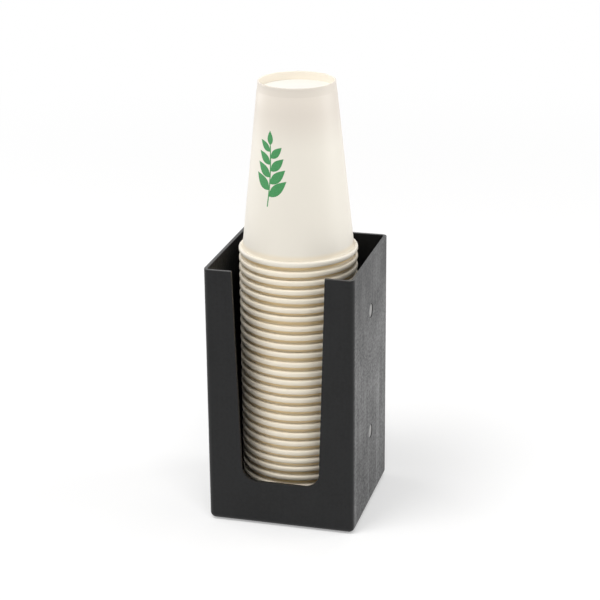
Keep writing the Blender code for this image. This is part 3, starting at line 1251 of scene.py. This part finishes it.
    def build(self) -> None:
        """Makes the cups from the bottom up. The top one has its side wall and its base disc apart."""
        group = cup_group(self.lathe, sprig_group())
        wall = profile_object("wall_profile", self.side_wall_profile())
        disc = profile_object("disc_profile", self.disc_profile())
        draw = random.Random(self.seed)
        shared = self.sizes() | {"wall_profile": wall, "disc_profile": disc}
        for number in range(1, self.count + 1):
            body = f"cup_{number:02d}"
            own = shared | self.lot(number, draw)
            top = number == self.count
            for part in (CupPart.SIDE_WALL, CupPart.BASE_DISC) if top else (CupPart.WHOLE,):
                own["with_wall"] = part is not CupPart.BASE_DISC
                own["with_disc"] = part is not CupPart.SIDE_WALL
                node = f"{body}_{part.value}" if top else body
                mesh = grown(f"paper_{node}", group, own)
                mesh.transform(Matrix.Translation(self.axis))
                piece = linked(f"paper_{node}", mesh)
                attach(piece, body)
                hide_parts(node)
                log.info("%s: %d faces, on %s", piece.name, len(piece.data.polygons), body)
        bpy.data.objects.remove(wall)
        bpy.data.objects.remove(disc)


@dataclass(frozen=True)
class Lamp:
    """A square soft lamp: where it hangs, the length of its side and its power in watts."""

    name: str
    place: tuple[float, float, float]
    size: float
    power: float

    def hang(self, target: Vector) -> None:
        """Hangs the lamp.

        Args:
            target: The point that it faces.
        """
        light = bpy.data.lights.new(self.name, "AREA")
        light.size = self.size
        light.energy = self.power
        lamp = linked(self.name, light)
        lamp.location = self.place
        lamp.rotation_euler = (target - lamp.location).to_track_quat("-Z", "Y").to_euler()


@dataclass
class Studio:
    """A plain pale floor, a soft white surround and large lamps, and the camera at the photograph's angle.

    The camera's angles are in degrees, its focal length and its frame in pixels, and its sensor in millimetres.
    """

    floor_size: float = 12.0
    floor_albedo: float = 0.65
    floor_glow: float = 0.35
    fade: Span = (0.30, 1.4)
    ambient: float = 0.26
    ambient_colour: Colour = (1.0, 0.99, 0.97)
    white: Colour = (1.0, 1.0, 1.0)
    target_height: float = 0.15
    lamps: tuple[Lamp, ...] = (
        Lamp("left_key", (-1.124, -1.438, 3.31), 1.8, 67.0),
        Lamp("right_key", (0.857, -1.611, 3.31), 1.35, 35.0),
        Lamp("left_side", (-1.49, 0.40, 0.56), 1.0, 6.0),
        Lamp("right_side", (1.49, 0.40, 0.56), 1.0, 10.0),
        Lamp("rear_lamp", (0.2, 1.2, 1.3), 1.0, 3.0),
    )
    place: tuple[float, float, float] = (0.33368, -1.22401, 0.62227)
    yaw: float = -15.183
    pitch: float = -20.016
    roll: float = -0.530
    focal_px: float = 1822.95
    frame_px: float = 600.0
    sensor: float = 36.0
    clip: Span = (0.05, 50.0)

    @staticmethod
    def seen(net: Net) -> Wire:
        """Tells the rays of the camera, of reflections and of glass from those that light the object.

        Args:
            net: The tree of a material or of the world.

        Returns:
            One for the former, and zero for the latter.
        """
        path = net.add("ShaderNodeLightPath").socket.node
        rays = ("Is Camera Ray", "Is Glossy Ray", "Is Transmission Ray")
        camera, glossy, through = (Wire(net, path.outputs[ray]) for ray in rays)
        return net.add("ShaderNodeClamp", {"Value": camera + glossy + through})

    def floor(self) -> None:
        """A large floor that keeps the object's shadow, glows a little, and fades to white, when seen, further out."""
        bm = bmesh.new()
        bmesh.ops.create_grid(bm, x_segments=1, y_segments=1, size=self.floor_size / 2)
        floor = linked("floor", meshed("floor", bm))
        material = bpy.data.materials.new("pale_floor")
        material.use_nodes = True
        net = Net(material.node_tree)
        net.tree.nodes.remove(net.tree.nodes["Principled BSDF"])
        matt = net.add("ShaderNodeBsdfDiffuse", {"Color": (self.floor_albedo,) * 3})
        glow = net.add("ShaderNodeEmission", {"Color": self.white, "Strength": self.floor_glow})
        near = net.add("ShaderNodeAddShader", {0: matt, 1: glow})
        far = net.add("ShaderNodeEmission", {"Color": self.white, "Strength": 1.0})
        place = net.add("ShaderNodeTexCoord", output="Object")
        reach = net.add("ShaderNodeVectorMath", {0: place}, "Value", operation="LENGTH")
        share = self.seen(net) * net.eased(reach, *self.fade)
        mixed = net.add("ShaderNodeMixShader", {0: share, 1: near, 2: far})
        net.feed(net.tree.nodes["Material Output"].inputs["Surface"], mixed)
        floor.data.materials.append(material)

    def surround(self) -> None:
        """A white surround for the camera and for reflections, and a dimmer one as light."""
        world = bpy.data.worlds.new("surround")
        world.use_nodes = True
        bpy.context.scene.world = world
        net = Net(world.node_tree)
        net.tree.nodes.remove(net.tree.nodes["Background"])
        light = net.add("ShaderNodeBackground", {"Color": self.ambient_colour, "Strength": self.ambient})
        white = net.add("ShaderNodeBackground", {"Color": self.white, "Strength": 1.0})
        mixed = net.add("ShaderNodeMixShader", {0: self.seen(net), 1: light, 2: white})
        net.feed(net.tree.nodes["World Output"].inputs["Surface"], mixed)

    def camera(self) -> None:
        """The camera, from the place, angles and focal length that the box's edges in the photograph give."""
        lens = bpy.data.cameras.new("camera")
        lens.sensor_width = self.sensor
        lens.lens = self.sensor * self.focal_px / self.frame_px
        lens.clip_start, lens.clip_end = self.clip
        yaw, pitch, roll = (radians(angle) for angle in (self.yaw, self.pitch, self.roll))
        ahead = Vector((sin(yaw) * cos(pitch), cos(yaw) * cos(pitch), sin(pitch)))
        level = Vector((cos(yaw), -sin(yaw), 0))
        above = level.cross(ahead)
        right = level * cos(roll) + above * sin(roll)
        up = above * cos(roll) - level * sin(roll)
        turn = Matrix((right, up, -ahead)).transposed().to_4x4()
        eye = linked("camera", lens)
        eye.matrix_world = Matrix.Translation(self.place) @ turn
        bpy.context.scene.camera = eye

    def build(self) -> None:
        """Sets up the floor, the surround, the lamps and the camera."""
        bpy.context.scene.view_settings.view_transform = "Standard"
        self.floor()
        self.surround()
        for lamp in self.lamps:
            lamp.hang(Vector((0, 0, self.target_height)))
        self.camera()
        log.info("studio: floor, surround, %d lamps and the camera", len(self.lamps))


def main() -> None:
    """Builds the sub-assemblies in order, then the studio."""
    logging.basicConfig(level=logging.INFO, format="%(name)s: %(message)s")
    finishes = Finishes.make()
    lathe = lathe_group()
    MouldedBox(finishes, lathe).build()
    CupStack(finishes, lathe).build()
    Studio().build()


if __name__ == "__main__":
    main()
